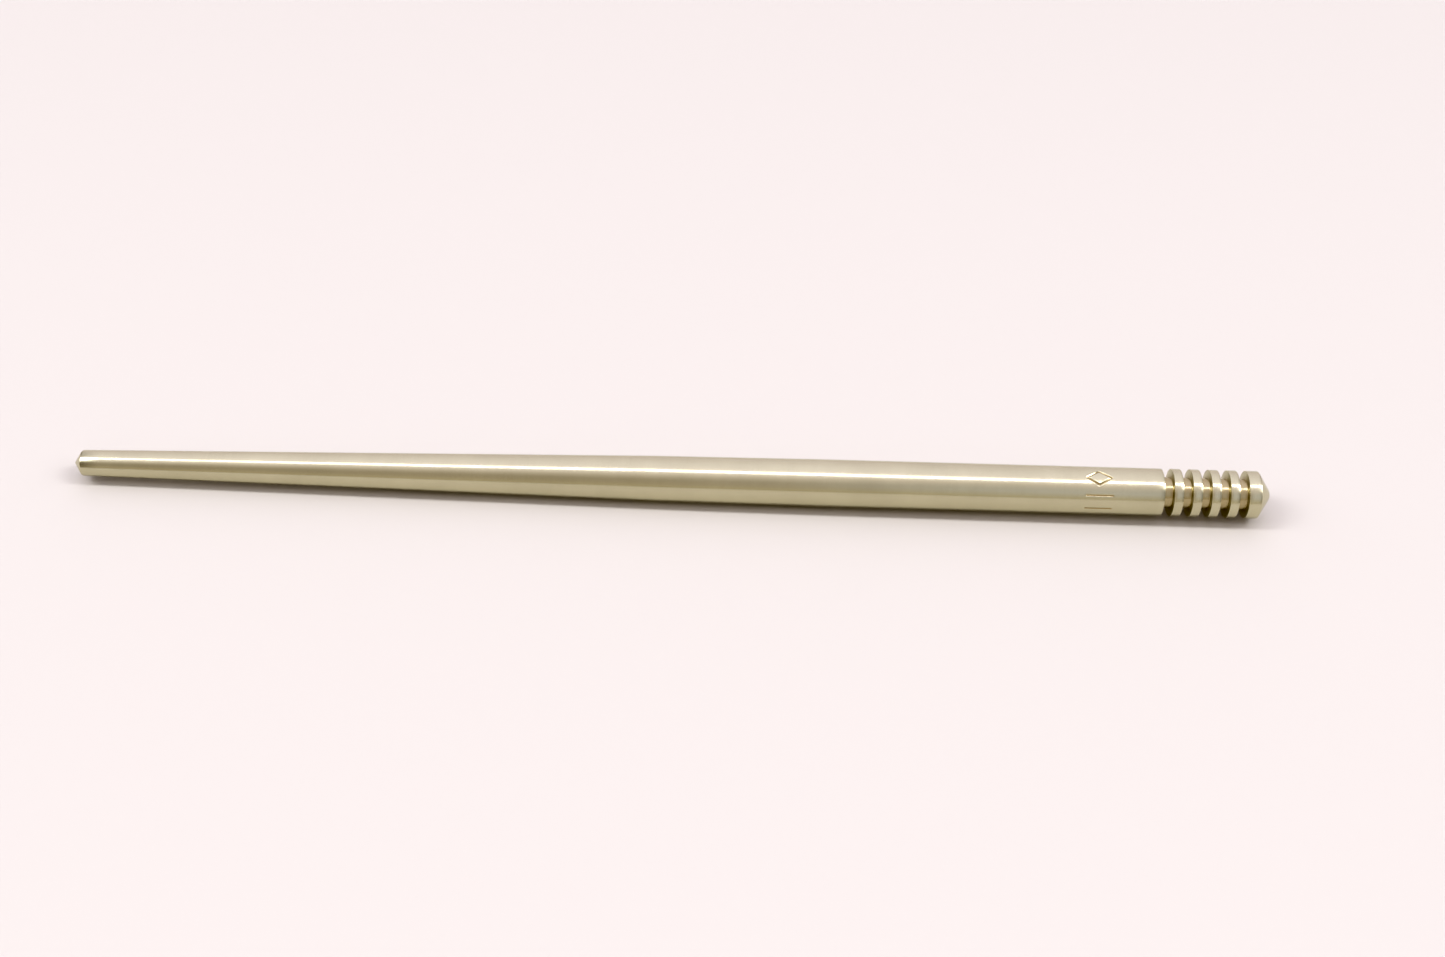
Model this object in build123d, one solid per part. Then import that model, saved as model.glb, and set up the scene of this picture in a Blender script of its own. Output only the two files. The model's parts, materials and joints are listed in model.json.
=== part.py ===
from build123d import *
import math
import os

# A carburettor jet needle: one metal pin, turned and ground in a single piece.
# From the head it has a blunt cone, five square clip grooves, a straight shank, a slight
# upper taper, a steeper lower taper that meters the fuel, and a blunt cone at the tip.
#
# The frame's origin is on the axis, in the middle of the middle clip groove, where the
# clip holds the needle. +X runs along the axis towards the head, and +Z is up when the
# needle lies on its side. Lengths are in millimetres and angles in degrees.

# Overall sizes
overall_length = 63.0
shank_diameter = 2.51

# Clip grooves and the head
groove_count = 5
groove_pitch = 0.98
groove_width = 0.50
groove_floor_diameter = 1.62
head_land_length = 0.645
land_edge_break = 0.03

# End cones: the angle is from the axis to the cone's side
end_cone_angle = 57.0
head_nose_radius = 0.65
tip_nose_radius = 0.12

# Tapers: distances are from the end of the head, and angles are the whole angle
upper_taper_start = 23.8
lower_taper_start = 32.4
upper_taper_angle = 0.75
lower_taper_angle = 1.95

# Identification mark: a rhombus and a pair of bars etched into the shank, one after the
# other round it. Clock angles are from -Y, turning up towards +Z.
mark_from_head_end = 9.17
mark_height = 1.48
mark_width = 0.96
mark_stroke = 0.12
mark_depth = 0.015
mark_bar_spacing = 0.80
rhombus_clock_angle = 78.0
bars_clock_angle = 15.0


def cone_end(rim_radius, nose_radius):
    """Axial distances from the cone's rim to where its nose begins and to the nose's end."""
    slope = math.radians(end_cone_angle)
    sharp_end = rim_radius / math.tan(slope)
    nose_centre = sharp_end - nose_radius / math.sin(slope)
    return nose_centre + nose_radius * math.sin(slope), nose_centre + nose_radius


def nose_start_radius(nose_radius):
    """The cone's radius where its rounded nose begins."""
    return nose_radius * math.cos(math.radians(end_cone_angle))


# Places along the axis that follow from the sizes
shank_radius = shank_diameter / 2
floor_radius = groove_floor_diameter / 2
groove_centres = [(i - (groove_count - 1) / 2) * groove_pitch for i in range(groove_count)]
head_rim_x = groove_centres[-1] + groove_width / 2 + head_land_length
head_nose_start, head_nose_end = cone_end(shank_radius, head_nose_radius)
head_end_x = head_rim_x + head_nose_end
upper_taper_x = head_end_x - upper_taper_start
lower_taper_x = head_end_x - lower_taper_start
tip_end_x = head_end_x - overall_length

# The tip cone starts where the lower taper meets it, so its rim takes a line crossing
upper_slope = math.tan(math.radians(upper_taper_angle / 2))
lower_slope = math.tan(math.radians(lower_taper_angle / 2))
cone_slope = math.tan(math.radians(end_cone_angle))
tip_nose_recess = tip_nose_radius * (1 / math.sin(math.radians(end_cone_angle)) - 1)
break_radius = shank_radius - upper_slope * (lower_taper_start - upper_taper_start)
sharp_tip_x = tip_end_x - tip_nose_recess
tip_rim_radius = (break_radius - lower_slope * (lower_taper_x - sharp_tip_x)) / (
    1 - lower_slope / cone_slope
)
tip_rim_x = sharp_tip_x + tip_rim_radius / cone_slope


def groove_outline(centre):
    """The outline through one groove, from its tip side to its head side."""
    near_x = centre - groove_width / 2
    far_x = centre + groove_width / 2
    return [
        (near_x - land_edge_break, shank_radius),
        (near_x, shank_radius - land_edge_break),
        (near_x, floor_radius),
        (far_x, floor_radius),
        (far_x, shank_radius - land_edge_break),
        (far_x + land_edge_break, shank_radius),
    ]


def needle_blank():
    """The whole needle without its mark: half its outline, turned about the axis."""
    tip_start, tip_end = cone_end(tip_rim_radius, tip_nose_radius)
    tip_nose = (tip_rim_x - tip_start, nose_start_radius(tip_nose_radius))
    head_nose = (head_rim_x + head_nose_start, nose_start_radius(head_nose_radius))
    flank = [
        tip_nose,
        (tip_rim_x, tip_rim_radius),
        (lower_taper_x, break_radius),
        (upper_taper_x, shank_radius),
    ]
    for centre in groove_centres:
        flank += groove_outline(centre)
    flank += [(head_rim_x, shank_radius), head_nose]
    with BuildPart() as blank:
        with BuildSketch(Plane.XY):
            with BuildLine():
                Polyline(*flank)
                RadiusArc(head_nose, (head_end_x, 0), head_nose_radius)
                Line((head_end_x, 0), (tip_rim_x - tip_end, 0))
                RadiusArc((tip_rim_x - tip_end, 0), tip_nose, tip_nose_radius)
            make_face()
        revolve(axis=Axis.X)
    return blank.part


def mark_plane(clock_angle):
    """A plane on the axis at the mark, facing out at that clock angle, with +X along the axis."""
    turn = math.radians(clock_angle)
    out = (0, -math.cos(turn), math.sin(turn))
    return Plane(origin=(head_end_x - mark_from_head_end, 0, 0), x_dir=(1, 0, 0), z_dir=out)


def rhombus():
    """A rhombus drawn with one stroke, as long as the mark's height along the axis."""
    half_long, half_wide = mark_height / 2, mark_width / 2
    corners = [(-half_long, 0), (0, half_wide), (half_long, 0), (0, -half_wide)]
    with BuildSketch() as outline:
        with BuildLine():
            Polyline(*corners, close=True)
        make_face()
        offset(amount=-mark_stroke, mode=Mode.SUBTRACT)
    return outline.sketch


def pair_of_bars():
    """Two bars side by side, as long as the mark's height along the axis."""
    with BuildSketch() as outline:
        with Locations((0, mark_bar_spacing / 2), (0, -mark_bar_spacing / 2)):
            SlotOverall(mark_height, mark_stroke)
    return outline.sketch


def mark_cutter():
    """The mark's strokes, as deep into the shank as the mark is etched."""
    skin = Cylinder(shank_radius + mark_depth, 3 * mark_height, rotation=(0, 90, 0)) - Cylinder(
        shank_radius - mark_depth, 3 * mark_height, rotation=(0, 90, 0)
    )
    skin = Pos(head_end_x - mark_from_head_end, 0, 0) * skin
    strokes = []
    for clock_angle, outline in (
        (rhombus_clock_angle, rhombus()),
        (bars_clock_angle, pair_of_bars()),
    ):
        raised = extrude(mark_plane(clock_angle) * outline, amount=2 * shank_radius)
        strokes += (raised & skin).solids()
    return strokes


def jet_needle():
    needle = needle_blank()
    for stroke in mark_cutter():
        needle -= stroke
    return needle


parts = {"jet_needle": jet_needle()}

os.makedirs("parts", exist_ok=True)
for name, shape in parts.items():
    shape.label = name
    export_step(shape, f"parts/{name}.step")

print("straight shank from", round(upper_taper_x, 3), "to", round(groove_centres[0] - groove_width / 2, 3))
print("head end", round(head_end_x, 3), "tip end", round(tip_end_x, 3))
print("tip rim diameter", round(2 * tip_rim_radius, 3), "at", round(tip_rim_x, 3))
print("diameter at the taper break", round(2 * break_radius, 3), "at", round(lower_taper_x, 3))
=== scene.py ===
import json
import math
import bmesh
import bpy
from mathutils import Matrix, Quaternion, Vector


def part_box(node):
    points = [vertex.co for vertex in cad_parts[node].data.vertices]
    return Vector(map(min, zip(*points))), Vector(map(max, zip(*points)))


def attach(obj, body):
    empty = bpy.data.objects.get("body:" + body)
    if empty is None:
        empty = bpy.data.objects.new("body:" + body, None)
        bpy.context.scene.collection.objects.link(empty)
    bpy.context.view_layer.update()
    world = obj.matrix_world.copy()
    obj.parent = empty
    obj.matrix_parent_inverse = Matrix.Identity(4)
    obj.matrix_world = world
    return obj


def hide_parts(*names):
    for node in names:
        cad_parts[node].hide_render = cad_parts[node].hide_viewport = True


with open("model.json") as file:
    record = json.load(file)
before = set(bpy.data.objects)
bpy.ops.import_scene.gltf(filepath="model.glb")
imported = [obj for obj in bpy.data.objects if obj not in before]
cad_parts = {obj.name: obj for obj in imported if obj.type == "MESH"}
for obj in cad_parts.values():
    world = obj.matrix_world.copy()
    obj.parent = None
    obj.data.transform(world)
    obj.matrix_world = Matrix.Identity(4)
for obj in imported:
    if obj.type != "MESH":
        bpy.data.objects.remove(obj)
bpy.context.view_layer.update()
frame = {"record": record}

mm = 0.001  # sizes below are in millimetres, and the scene is in metres
mounts = {mount["name"]: mount for mount in frame["record"]["mounts"]}
needleLow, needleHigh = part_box("jet_needle")


# the needle's own sizes; the shank and the grooves come from the frame's mounts
needle = {
    "lowerTaperStart": 32.4,  # from the head's end
    "upperTaperAngle": 0.75,  # from side to side, in degrees
    "lowerTaperAngle": 1.95,
    "headLand": 0.645,  # between the last groove and the head's cone
    "coneAngle": 57.0,  # from the axis to the cone's side
    "headNoseRadius": 0.65,
    "tipNoseRadius": 0.12,
    "noseSteps": 8,
    "landBreak": 0.03,  # rounding on the lands' edges
    "coneBreak": 0.035,  # rounding where the head's cone meets its land
    "tipBreak": 0.08,  # and where the tip's cone meets the taper
    "floorFillet": 0.02,  # what the grooving tool's corners leave
    "turns": 288,  # faces round the needle
    "taperRings": 26,
    "shankRings": 16,
    "endRings": 4,  # between the mark and the first groove
    "markRing": 0.022,  # ring spacing under the mark
    "mergeDistance": 0.0005,
    "sharpEdge": 22,  # degrees from which an edge is drawn sharp
}

# The mark: a rhombus and two bars, one after the other round the shank.
mark = {
    "fromHeadEnd": 9.17,
    "height": 1.48,  # along the axis
    "width": 0.96,  # round the shank
    "stroke": 0.12,
    "strokeWall": 0.7,  # share of a stroke's half width that slopes down to its floor
    "depth": 0.035,  # more than the CAD's strokes have, so that the mark shows
    "lip": 0.004,  # metal raised beside a stroke
    "lipReach": 0.08,
    "barSpacing": 0.80,
    "rhombusClock": 78.0,  # degrees from -Y, turning up towards +Z
    "barsClock": 15.0,
}


def needlePlaces():
    # every ring position that follows from the mounts and the sizes above, in millimetres
    grooves = sorted(
        (mount["pos_m"][0] / mm, mount["dims"]["length_mm"], mount["dims"]["r_mm"])
        for name, mount in mounts.items() if name.startswith("clip_groove_")
    )
    shank = mounts["shank"]
    cone = math.radians(needle["coneAngle"])
    places = {"grooves": grooves, "shankRadius": shank["dims"]["r_mm"], "cone": cone}
    places["headEnd"] = needleHigh.x / mm
    places["tipEnd"] = needleLow.x / mm
    lastCentre, lastWidth, _ = grooves[-1]
    places["headRim"] = lastCentre + lastWidth / 2 + needle["headLand"]
    places["upperStart"] = shank["pos_m"][0] / mm - shank["dims"]["length_mm"] / 2
    places["lowerStart"] = places["headEnd"] - needle["lowerTaperStart"]
    upperSlope = math.tan(math.radians(needle["upperTaperAngle"] / 2))
    lowerSlope = math.tan(math.radians(needle["lowerTaperAngle"] / 2))
    upperLength = places["upperStart"] - places["lowerStart"]
    places["breakRadius"] = places["shankRadius"] - upperSlope * upperLength
    sharpTip = places["tipEnd"] - needle["tipNoseRadius"] * (1 / math.sin(cone) - 1)
    drop = lowerSlope * (places["lowerStart"] - sharpTip)
    places["tipRimRadius"] = (places["breakRadius"] - drop) / (1 - lowerSlope / math.tan(cone))
    places["tipRim"] = sharpTip + places["tipRimRadius"] / math.tan(cone)
    places["markCentre"] = places["headEnd"] - mark["fromHeadEnd"]
    return places


places = needlePlaces()


def noseArc(end, noseRadius, side):
    # points of a cone's rounded end, from the axis out to where the cone's side begins
    centre = end - side * noseRadius
    widest = math.pi / 2 - places["cone"]
    points = []
    for step in range(needle["noseSteps"] + 1):
        turn = widest * step / needle["noseSteps"]
        points.append((centre + side * noseRadius * math.cos(turn), noseRadius * math.sin(turn)))
    return points


def spread(start, end, count):
    # points inside a stretch, without its two ends
    return [start + (end - start) * step / (count + 1) for step in range(1, count + 1)]


def straightRun(xs, radiusAt):
    return [(x, radiusAt(x), 0.0) for x in xs]


def outline():
    # (place, radius, rounding) from the tip to the head
    shankRadius = places["shankRadius"]
    tip, lower, upper = places["tipRim"], places["lowerStart"], places["upperStart"]

    def lowerRadius(x):
        share = (x - tip) / (lower - tip)
        return places["tipRimRadius"] + share * (places["breakRadius"] - places["tipRimRadius"])

    def upperRadius(x):
        share = (x - lower) / (upper - lower)
        return places["breakRadius"] + share * (shankRadius - places["breakRadius"])

    def onShank(xs):
        return straightRun(xs, lambda x: shankRadius)

    markHalf = mark["height"] / 2 + mark["stroke"] + mark["lipReach"]
    markLow, markHigh = places["markCentre"] - markHalf, places["markCentre"] + markHalf
    firstGroove = places["grooves"][0][0] - places["grooves"][0][1] / 2
    markRings = round((markHigh - markLow) / needle["markRing"])

    points = [(x, radius, 0.0) for x, radius in noseArc(places["tipEnd"], needle["tipNoseRadius"], -1)]
    points.append((tip, places["tipRimRadius"], needle["tipBreak"]))
    points += straightRun(spread(tip, lower, needle["taperRings"]), lowerRadius)
    points.append((lower, places["breakRadius"], 0.0))
    points += straightRun(spread(lower, upper, needle["taperRings"] // 3), upperRadius)
    points.append((upper, shankRadius, 0.0))
    points += onShank(spread(upper, markLow, needle["shankRings"]))
    points += onShank([markLow] + spread(markLow, markHigh, markRings) + [markHigh])
    points += onShank(spread(markHigh, firstGroove - needle["landBreak"], needle["endRings"]))
    for centre, width, floorRadius in places["grooves"]:
        near, far = centre - width / 2, centre + width / 2
        points.append((near, shankRadius, needle["landBreak"]))
        points.append((near, floorRadius, needle["floorFillet"]))
        points.append((centre, floorRadius, 0.0))
        points.append((far, floorRadius, needle["floorFillet"]))
        points.append((far, shankRadius, needle["landBreak"]))
    points.append((places["headRim"], shankRadius, needle["coneBreak"]))
    head = noseArc(places["headEnd"], needle["headNoseRadius"], 1)
    points += [(x, radius, 0.0) for x, radius in reversed(head)]
    return points


def roundCorners(work, corners):
    # each sharp corner of the outline becomes a small arc
    for rounding in sorted(set(amount for _, amount in corners)):
        group = [corner for corner, amount in corners if amount == rounding and corner.is_valid]
        bmesh.ops.bevel(
            work, geom=group, offset=rounding * mm, offset_type="OFFSET", affect="VERTICES",
            segments=3, profile=0.5, material=-1,
        )


def spinNeedle(work):
    chain, corners = [], []
    for x, radius, rounding in outline():
        point = work.verts.new((x * mm, 0, radius * mm))
        if chain:
            work.edges.new((chain[-1], point))
        chain.append(point)
        if rounding:
            corners.append((point, rounding))
    roundCorners(work, corners)
    bmesh.ops.spin(
        work, geom=work.verts[:] + work.edges[:], cent=(0, 0, 0), axis=(1, 0, 0),
        angle=2 * math.pi, steps=needle["turns"], use_merge=True,
    )
    bmesh.ops.remove_doubles(work, verts=work.verts[:], dist=needle["mergeDistance"] * mm)
    bmesh.ops.recalc_face_normals(work, faces=work.faces[:])


def distanceToStroke(point, start, end):
    along = end - start
    share = max(0.0, min(1.0, (point - start).dot(along) / along.length_squared))
    return (point - start - along * share).length


def markStrokes():
    # each stroke as (clock angle, start, end), with places measured along the axis and round it
    halfHeight, halfWidth = mark["height"] / 2, mark["width"] / 2
    inset = mark["stroke"] / 2
    tall, wide = halfHeight - inset * halfHeight / halfWidth, halfWidth - inset
    corners = [Vector(pair) for pair in ((-tall, 0), (0, wide), (tall, 0), (0, -wide))]
    strokes = [
        (mark["rhombusClock"], corners[index], corners[(index + 1) % 4]) for index in range(4)
    ]
    for side in (-1, 1):
        offset = side * mark["barSpacing"] / 2
        reach = halfHeight - inset
        strokes.append((mark["barsClock"], Vector((-reach, offset)), Vector((reach, offset))))
    return strokes


def pressMark(work):
    # the strokes are pushed in, with a low lip of metal along each side
    strokes = markStrokes()
    half = mark["stroke"] / 2
    depthLayer = work.verts.layers.float.new("strokeDepth")
    reach = mark["height"] / 2 + mark["lipReach"]
    for point in work.verts:
        along = point.co.x / mm - places["markCentre"]
        radius = math.hypot(point.co.y, point.co.z) / mm
        if abs(along) > reach or radius < places["shankRadius"] - 0.01:
            continue
        clock = math.degrees(math.atan2(point.co.z, -point.co.y))
        nearest = reach
        for strokeClock, start, end in strokes:
            turn = math.radians((clock - strokeClock + 180) % 360 - 180)
            aroundShank = turn * places["shankRadius"]
            if abs(aroundShank) > reach:
                continue
            nearest = min(nearest, distanceToStroke(Vector((along, aroundShank)), start, end))
        if nearest < half:
            floor = min(1.0, (half - nearest) / (half * mark["strokeWall"]))
            change = -mark["depth"] * floor * floor * (3 - 2 * floor)
            point[depthLayer] = floor
        elif nearest < half + mark["lipReach"]:
            share = (nearest - half) / mark["lipReach"]
            change = mark["lip"] * math.sin(math.pi * share) * (1 - share)
        else:
            continue
        scale = (radius + change) / radius
        point.co.y *= scale
        point.co.z *= scale


def markGrooves(work):
    # how far a point lies down a groove, for the painted shade that darkens the grooves and for the walls'
    # roughness
    grooveLayer = work.verts.layers.float.new("grooveDepth")
    shankRadius = places["shankRadius"]
    floorRadius = places["grooves"][0][2]
    start = places["grooves"][0][0] - places["grooves"][0][1]
    end = places["grooves"][-1][0] + places["grooves"][-1][1]
    for point in work.verts:
        if start < point.co.x / mm < end:
            radius = math.hypot(point.co.y, point.co.z) / mm
            point[grooveLayer] = max(0.0, min(1.0, (shankRadius - radius) / (shankRadius - floorRadius)))


def buildNeedle():
    work = bmesh.new()
    spinNeedle(work)
    pressMark(work)
    markGrooves(work)
    for face in work.faces:
        face.smooth = True
    for edge in work.edges:
        if len(edge.link_faces) == 2 and edge.calc_face_angle(0) > math.radians(needle["sharpEdge"]):
            edge.smooth = False
    mesh = bpy.data.meshes.new("needle")
    work.to_mesh(mesh)
    work.free()
    piece = bpy.data.objects.new("needle", mesh)
    bpy.context.scene.collection.objects.link(piece)
    print("needle turned:", len(mesh.vertices), "points,", len(mesh.polygons), "faces")
    return piece


alloy = {
    "color": (0.60, 0.575, 0.43),
    # painted shade: this colour darkens the grooves' floors and the mark's strokes, where shade falls
    "paintedShadeColor": (0.36, 0.27, 0.13),
    "grooveShadeAmount": 0.5,  # on the grooves' floors
    "strokeShade": 0.8,  # in the mark's strokes
    "cloudShade": 0.035,  # how much lighter and darker the handling clouds are
    "lineColor": (0.2, 0.18, 0.12),
    "lineAmount": 0.1,
    "roughnessChange": 0.02,
    "roughness": 0.2,
    "wallRoughness": 0.4,  # on the grooves' walls, which are turned and not ground
    "walls": [(0.002, 0), (0.03, 1), (0.97, 1), (0.998, 0)],  # by share of the groove's depth
    "ringPitch": 0.03,  # grinding lines, in millimetres
    "ringBump": 0.04,
    "ringHeight": 0.002,
    "cloudSize": 2.2,
}


def mixColor(nodes, links, factor, first, second, blend="MIX"):
    mix = nodes.new("ShaderNodeMix")
    mix.data_type = "RGBA"
    mix.blend_type = blend
    for socket, value in ((mix.inputs[0], factor), (mix.inputs[6], first), (mix.inputs[7], second)):
        if isinstance(value, bpy.types.NodeSocket):
            links.new(value, socket)
        elif isinstance(value, tuple):
            socket.default_value = (*value, 1)
        else:
            socket.default_value = value
    return mix.outputs[2]


def noise(nodes, links, coords, spacing, detail=2.0, roughness=0.5, name="noise"):
    # a noise whose lumps are about spacing (x, y, z) millimetres
    mapping = nodes.new("ShaderNodeMapping")
    mapping.inputs["Scale"].default_value = [1 / (size * mm) for size in spacing]
    links.new(coords, mapping.inputs["Vector"])
    texture = nodes.new("ShaderNodeTexNoise")
    texture.label = name
    texture.inputs["Scale"].default_value = 1.0
    texture.inputs["Detail"].default_value = detail
    texture.inputs["Roughness"].default_value = roughness
    links.new(mapping.outputs["Vector"], texture.inputs["Vector"])
    return texture.outputs["Fac"]


def mapRange(nodes, links, value, low, high, newLow, newHigh):
    node = nodes.new("ShaderNodeMapRange")
    for socket, amount in zip(("From Min", "From Max", "To Min", "To Max"), (low, high, newLow, newHigh)):
        node.inputs[socket].default_value = amount
    links.new(value, node.inputs["Value"])
    return node.outputs["Result"]


def rampOf(nodes, links, value, points, blend="B_SPLINE"):
    # a ramp through (place, color) points, with places from 0 to 1
    ramp = nodes.new("ShaderNodeValToRGB")
    ramp.color_ramp.interpolation = blend
    stops = ramp.color_ramp.elements
    while len(stops) < len(points):
        stops.new(0.5)
    for stop, (place, color) in zip(stops, points):
        stop.position = place
        stop.color = (*color, 1)
    links.new(value, ramp.inputs["Fac"])
    return ramp.outputs["Color"]


def mathNode(nodes, links, operation, first, second=None):
    node = nodes.new("ShaderNodeMath")
    node.operation = operation
    for socket, value in zip(node.inputs, (first, second)):
        if isinstance(value, bpy.types.NodeSocket):
            links.new(value, socket)
        elif value is not None:
            socket.default_value = value
    return node.outputs["Value"]


def groundAlloy():
    material = bpy.data.materials.new("groundAlloy")
    material.use_nodes = True
    nodes, links = material.node_tree.nodes, material.node_tree.links
    shader = nodes["Principled BSDF"]
    shader.inputs["Metallic"].default_value = 1.0
    coords = nodes.new("ShaderNodeTexCoord").outputs["Object"]
    pitch = alloy["ringPitch"]
    rings = noise(nodes, links, coords, (pitch, 9.0, 9.0), 3.0, 0.65, "grinding lines")
    bands = noise(nodes, links, coords, (0.55, 30.0, 30.0), 2.0, 0.5, "slow bands along the axis")
    clouds = noise(nodes, links, coords, (alloy["cloudSize"],) * 3, 4.0, 0.55, "handling clouds")
    grooveDepth = nodes.new("ShaderNodeAttribute")
    grooveDepth.attribute_name = "grooveDepth"
    strokeDepth = nodes.new("ShaderNodeAttribute")
    strokeDepth.attribute_name = "strokeDepth"

    tone = mixColor(nodes, links, mapRange(nodes, links, clouds, 0.3, 0.7, 0.0, 1.0),
                    tuple(channel * (1 - alloy["cloudShade"]) for channel in alloy["color"]),
                    tuple(channel * (1 + alloy["cloudShade"]) for channel in alloy["color"]))
    ringTone = mapRange(nodes, links, rings, 0.25, 0.75, 0.0, alloy["lineAmount"])
    tone = mixColor(nodes, links, ringTone, tone, alloy["lineColor"])
    # painted shade: darker and browner down the grooves' lower walls and floors
    grooveShadeMask = mapRange(nodes, links, grooveDepth.outputs["Fac"], 0.5, 1.0, 0.0, alloy["grooveShadeAmount"])
    tone = mixColor(nodes, links, grooveShadeMask, tone, alloy["paintedShadeColor"])
    # painted shade in the mark's strokes, darkest on their floors
    strokeShade = mapRange(nodes, links, strokeDepth.outputs["Fac"], 0.0, 1.0, 0.0, alloy["strokeShade"])
    tone = mixColor(nodes, links, strokeShade, tone, alloy["paintedShadeColor"])
    links.new(tone, shader.inputs["Base Color"])

    low, high = (alloy["roughness"] + side * alloy["roughnessChange"] for side in (-1, 1))
    rough = mapRange(nodes, links, bands, 0.3, 0.7, low, high)
    # black on the lands and the floors, white on the walls between
    walls = [(depth, (share, share, share)) for depth, share in alloy["walls"]]
    wall = rampOf(nodes, links, grooveDepth.outputs["Fac"], walls, "LINEAR")
    extra = mapRange(nodes, links, wall, 0, 1, 0, alloy["wallRoughness"] - alloy["roughness"])
    links.new(mathNode(nodes, links, "ADD", rough, extra), shader.inputs["Roughness"])

    bump = nodes.new("ShaderNodeBump")
    bump.inputs["Strength"].default_value = alloy["ringBump"]
    bump.inputs["Distance"].default_value = alloy["ringHeight"] * mm
    links.new(rings, bump.inputs["Height"])
    links.new(bump.outputs["Normal"], shader.inputs["Normal"])
    return material


piece = buildNeedle()
piece.data.materials.append(groundAlloy())
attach(piece, "root")
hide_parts("jet_needle")
print("needle finished and dressed")


table = {
    "size": 900.0,
    "color": (0.55, 0.525, 0.5),
    "roughness": 0.8,
}


def buildTable():
    # the needle rests on its upper taper, so the table leans by half that taper's angle
    lean = math.radians(needle["upperTaperAngle"] / 2)
    touch = Vector((places["upperStart"] * mm, 0, -places["shankRadius"] * mm))
    work = bmesh.new()
    bmesh.ops.create_grid(work, x_segments=2, y_segments=2, size=table["size"] / 2 * mm)
    turn = Matrix.Rotation(lean, 4, "Y")
    bmesh.ops.transform(work, matrix=Matrix.Translation(touch) @ turn, verts=work.verts[:])
    mesh = bpy.data.meshes.new("table")
    work.to_mesh(mesh)
    work.free()
    piece = bpy.data.objects.new("table", mesh)
    bpy.context.scene.collection.objects.link(piece)
    material = bpy.data.materials.new("paleTable")
    material.use_nodes = True
    shader = material.node_tree.nodes["Principled BSDF"]
    shader.inputs["Base Color"].default_value = (*table["color"], 1)
    shader.inputs["Roughness"].default_value = table["roughness"]
    mesh.materials.append(material)
    return piece


buildTable()
print("table laid")


light = {
    "height": 420.0,  # of every softbox above the needle
    # (name, how far along the needle, how far towards -Y, length, width, power)
    "softboxes": [
        ("middleSoftbox", 0, 24, 300, 44, 0.16),
        ("tipStrip", -310, 24, 200, 44, 0.5),
        ("headStrip", 310, 24, 200, 44, 0.5),
        ("tipSoftbox", -420, 26, 300, 90, 0.3),
        ("headSoftbox", 420, 26, 300, 90, 0.3),
        ("tipFill", -420, 196, 300, 180, 0.4),
        ("headFill", 420, 196, 300, 180, 0.4),
    ],
    # the room's brightness by how far a direction leans to the needle's ends
    "sides": [(0.0, 1.0), (0.38, 1.0), (0.6, 0.25), (0.85, 1.0)],
    # the room round the needle's axis, in degrees from the near horizon over the top to the far one
    "sky": [
        (0, (0.55, 0.5, 0.43)), (25, (0.44, 0.39, 0.38)), (48, (0.44, 0.4, 0.38)),
        (80, (0.95, 0.88, 0.97)), (120, (0.96, 0.93, 1.06)), (180, (0.68, 0.62, 0.67)),
    ],
    # how much brighter the near side is past the head, at its brightest angle
    "headGlow": (0.4, 0.55, 0.8),
    "glowAngle": 32,
    "glowLean": (0.03, 0.13),  # where it starts and where it is full, towards the head
}


def addSoftbox(name, along, near, length, width, power):
    # an area light over the needle that faces its middle, with its width across the needle
    middle = Vector(((needleLow.x + needleHigh.x) / 2, 0, 0))
    lamp = bpy.data.lights.new(name, "AREA")
    lamp.shape = "RECTANGLE"
    lamp.size = length * mm
    lamp.size_y = width * mm
    lamp.energy = power
    lampObject = bpy.data.objects.new(name, lamp)
    lampObject.location = middle + Vector((along, -near, light["height"])) * mm
    lampObject.rotation_euler = (-math.atan2(near, light["height"]), math.atan2(along, light["height"]), 0)
    bpy.context.scene.collection.objects.link(lampObject)


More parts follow.
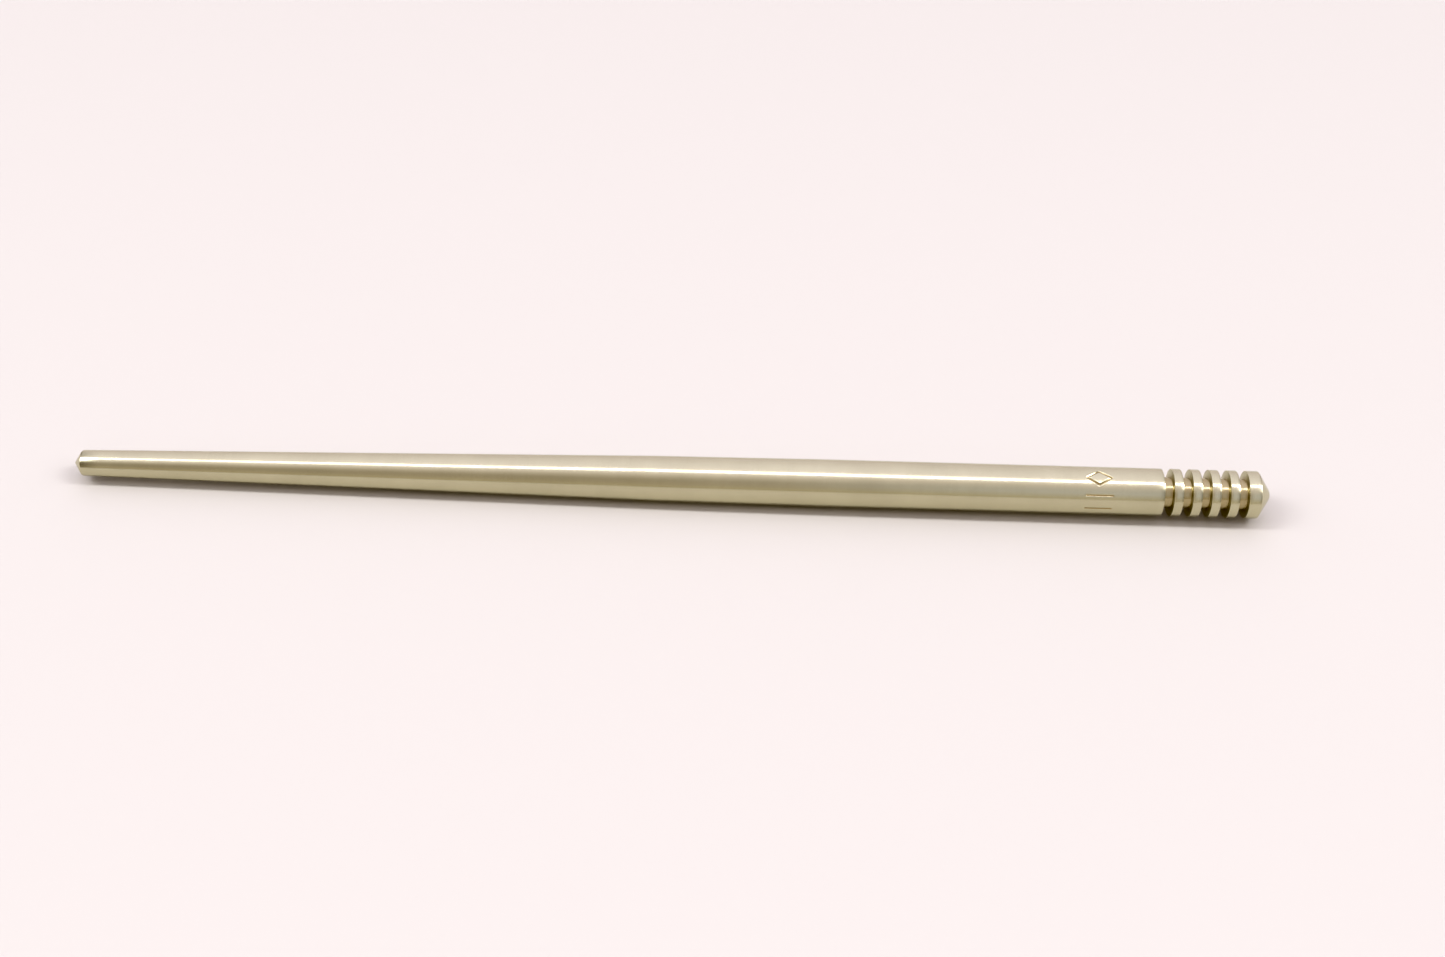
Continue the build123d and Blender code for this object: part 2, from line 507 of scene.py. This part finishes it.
def lightRoom():
    for softbox in light["softboxes"]:
        addSoftbox(*softbox)
    world = bpy.data.worlds.new("paleRoom")
    world.use_nodes = True
    nodes, links = world.node_tree.nodes, world.node_tree.links
    parts = nodes.new("ShaderNodeSeparateXYZ")
    links.new(nodes.new("ShaderNodeTexCoord").outputs["Generated"], parts.inputs["Vector"])
    near = mathNode(nodes, links, "MULTIPLY", parts.outputs["Y"], -1)
    turn = mathNode(nodes, links, "ARCTAN2", parts.outputs["Z"], near)
    brightest = max(max(color) for _, color in light["sky"])
    sky = [(angle / 180, tuple(channel / brightest for channel in color)) for angle, color in light["sky"]]
    sides = [(lean, (share, share, share)) for lean, share in light["sides"]]
    color = rampOf(nodes, links, mathNode(nodes, links, "DIVIDE", turn, math.pi), sky)
    share = rampOf(nodes, links, mathNode(nodes, links, "ABSOLUTE", parts.outputs["X"]), sides, "LINEAR")
    offGlow = mathNode(nodes, links, "SUBTRACT", turn, math.radians(light["glowAngle"]))
    offGlow = mathNode(nodes, links, "ABSOLUTE", offGlow)
    glow = mathNode(
        nodes, links, "MULTIPLY",
        mapRange(nodes, links, offGlow, 0, math.radians(light["glowAngle"]), 1, 0),
        mapRange(nodes, links, parts.outputs["X"], *light["glowLean"], 0, 1),
    )
    lit = tuple(1 + channel for channel in light["headGlow"])
    tint = mixColor(nodes, links, glow, (1.0, 1.0, 1.0), lit)
    background = nodes["Background"]
    links.new(mixColor(nodes, links, 1.0, color, tint, "MULTIPLY"), background.inputs["Color"])
    links.new(mathNode(nodes, links, "MULTIPLY", share, brightest), background.inputs["Strength"])
    bpy.context.scene.world = world


lightRoom()
print("lights set")


view = {
    "elevation": 45.0,
    "turn": 0.0,
    "roll": 1.57,
    "lens": 47.0,
    "distance": 99.5,
    "target": (-25.305, 0.048, 0.085),
    "look": "High Contrast",
    "blackLevel": (0.018, 0.022, 0.034),
}


def placeCamera():
    camera = bpy.data.cameras.new("camera")
    camera.lens = view["lens"]
    camera.sensor_width = 36.0
    camera.clip_start = 1 * mm
    cameraObject = bpy.data.objects.new("camera", camera)
    rise, turn = math.radians(view["elevation"]), math.radians(view["turn"])
    back = Vector((math.sin(turn) * math.cos(rise), -math.cos(turn) * math.cos(rise), math.sin(rise)))
    cameraObject.location = (Vector(view["target"]) + back * view["distance"]) * mm
    look = (-back).to_track_quat("-Z", "Y")
    roll = Quaternion((0, 0, 1), math.radians(view["roll"]))
    cameraObject.rotation_mode = "QUATERNION"
    cameraObject.rotation_quaternion = look @ roll
    bpy.context.scene.collection.objects.link(cameraObject)
    bpy.context.scene.camera = cameraObject


def setContrast():
    settings = bpy.context.scene.view_settings
    settings.view_transform = "Standard"
    settings.look = view["look"]
    settings.use_curve_mapping = True
    settings.curve_mapping.black_level = view["blackLevel"]
    settings.curve_mapping.update()


placeCamera()
setContrast()
print("camera placed")
